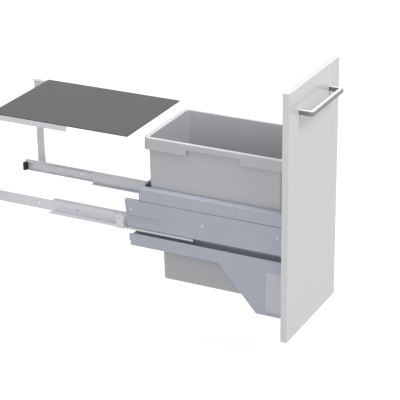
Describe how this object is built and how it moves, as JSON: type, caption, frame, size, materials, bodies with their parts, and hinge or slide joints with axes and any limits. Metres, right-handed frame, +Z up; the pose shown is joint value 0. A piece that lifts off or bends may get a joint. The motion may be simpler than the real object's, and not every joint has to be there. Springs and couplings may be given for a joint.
{
  "type": "pull out bin frame",
  "caption": "Under-worktop pull-out waste bin: telescopic rails, folded steel frame with door brackets, hanging bin, fixed lid and a gloss front with bow handle.",
  "frame": {"origin": "centre of the cabinet opening at the cabinet's front edge, at the height of the lower fixing holes", "axes": "+X to the right seen from the front, +Y into the cabinet, +Z up; drawn with the drawer fully out"},
  "size_m": [0.34, 1.039, 0.716],
  "materials": {
    "blue_grey_steel": "satin powder coat, blue grey",
    "zinc_steel": "zinc plated, fine drawn grain",
    "light_steel": "satin, light grey",
    "bright_steel": "bright zinc",
    "lid_steel": "dark brushed lacquer",
    "front_gloss": "high gloss white lacquer",
    "handle_chrome": "satin chrome",
    "bin_plastic": "fine grained moulding, light grey",
    "rubber": "matt"
  },
  "bodies": {
    "root": {"cabinet_rail_left": "zinc_steel", "cabinet_rail_right": "zinc_steel", "front_bracket_left": "zinc_steel", "front_bracket_right": "zinc_steel", "rear_bracket_left": "zinc_steel", "rear_bracket_right": "zinc_steel", "bracket_rivets_left": "bright_steel", "bracket_rivets_right": "bright_steel", "end_buffer_left": "rubber", "end_buffer_right": "rubber", "lid_carrier_left": "zinc_steel", "lid_carrier_right": "zinc_steel", "lid": "lid_steel", "lid_screws": "bright_steel"},
    "middle_left": {"middle_rail_left": "zinc_steel"},
    "outer_cage_left": {"outer_ball_cage_left": "bright_steel"},
    "inner_cage_left": {"inner_ball_cage_left": "bright_steel"},
    "middle_right": {"middle_rail_right": "zinc_steel"},
    "outer_cage_right": {"outer_ball_cage_right": "bright_steel"},
    "inner_cage_right": {"inner_ball_cage_right": "bright_steel"},
    "bin": {"bin": "bin_plastic"},
    "drawer": {"drawer_rail_left": "zinc_steel", "drawer_rail_right": "zinc_steel", "runner_carrier_left": "blue_grey_steel", "runner_carrier_right": "blue_grey_steel", "rail_rivets_left": "bright_steel", "rail_rivets_right": "bright_steel", "side_panel_left": "blue_grey_steel", "side_panel_right": "blue_grey_steel", "panel_spacers_left": "bright_steel", "panel_spacers_right": "bright_steel", "panel_screws_left": "light_steel", "panel_screws_right": "light_steel", "top_frame": "blue_grey_steel", "frame_screws": "bright_steel", "door_bracket_left": "blue_grey_steel", "door_bracket_right": "blue_grey_steel", "adjusting_plate_left": "light_steel", "adjusting_plate_right": "light_steel", "adjusting_screws_left": "light_steel", "adjusting_screws_right": "light_steel", "door_screws": "bright_steel", "front_panel": "front_gloss", "handle": "handle_chrome", "handle_screws": "bright_steel"}
  },
  "joints": [
    {"name": "drawer_slide", "type": "slide", "parent": "root", "child": "drawer", "axis": [0, 1, 0], "range_m": [0, 0.46]},
    {"name": "middle_slide_left", "type": "slide", "parent": "root", "child": "middle_left", "axis": [0, 1, 0], "range_m": [0, 0.23]},
    {"name": "outer_cage_slide_left", "type": "slide", "parent": "root", "child": "outer_cage_left", "axis": [0, 1, 0], "range_m": [0, 0.115]},
    {"name": "inner_cage_slide_left", "type": "slide", "parent": "root", "child": "inner_cage_left", "axis": [0, 1, 0], "range_m": [0, 0.345]},
    {"name": "middle_slide_right", "type": "slide", "parent": "root", "child": "middle_right", "axis": [0, 1, 0], "range_m": [0, 0.23]},
    {"name": "outer_cage_slide_right", "type": "slide", "parent": "root", "child": "outer_cage_right", "axis": [0, 1, 0], "range_m": [0, 0.115]},
    {"name": "inner_cage_slide_right", "type": "slide", "parent": "root", "child": "inner_cage_right", "axis": [0, 1, 0], "range_m": [0, 0.345]},
    {"name": "bin_lift", "type": "slide", "parent": "drawer", "child": "bin", "axis": [0, 0, 1], "range_m": [0, 0.004]}
  ],
  "couplings": [
    {"joint": "middle_slide_left", "follows": "drawer_slide", "ratio": 0.5},
    {"joint": "outer_cage_slide_left", "follows": "drawer_slide", "ratio": 0.25},
    {"joint": "inner_cage_slide_left", "follows": "drawer_slide", "ratio": 0.75},
    {"joint": "middle_slide_right", "follows": "drawer_slide", "ratio": 0.5},
    {"joint": "outer_cage_slide_right", "follows": "drawer_slide", "ratio": 0.25},
    {"joint": "inner_cage_slide_right", "follows": "drawer_slide", "ratio": 0.75}
  ]
}
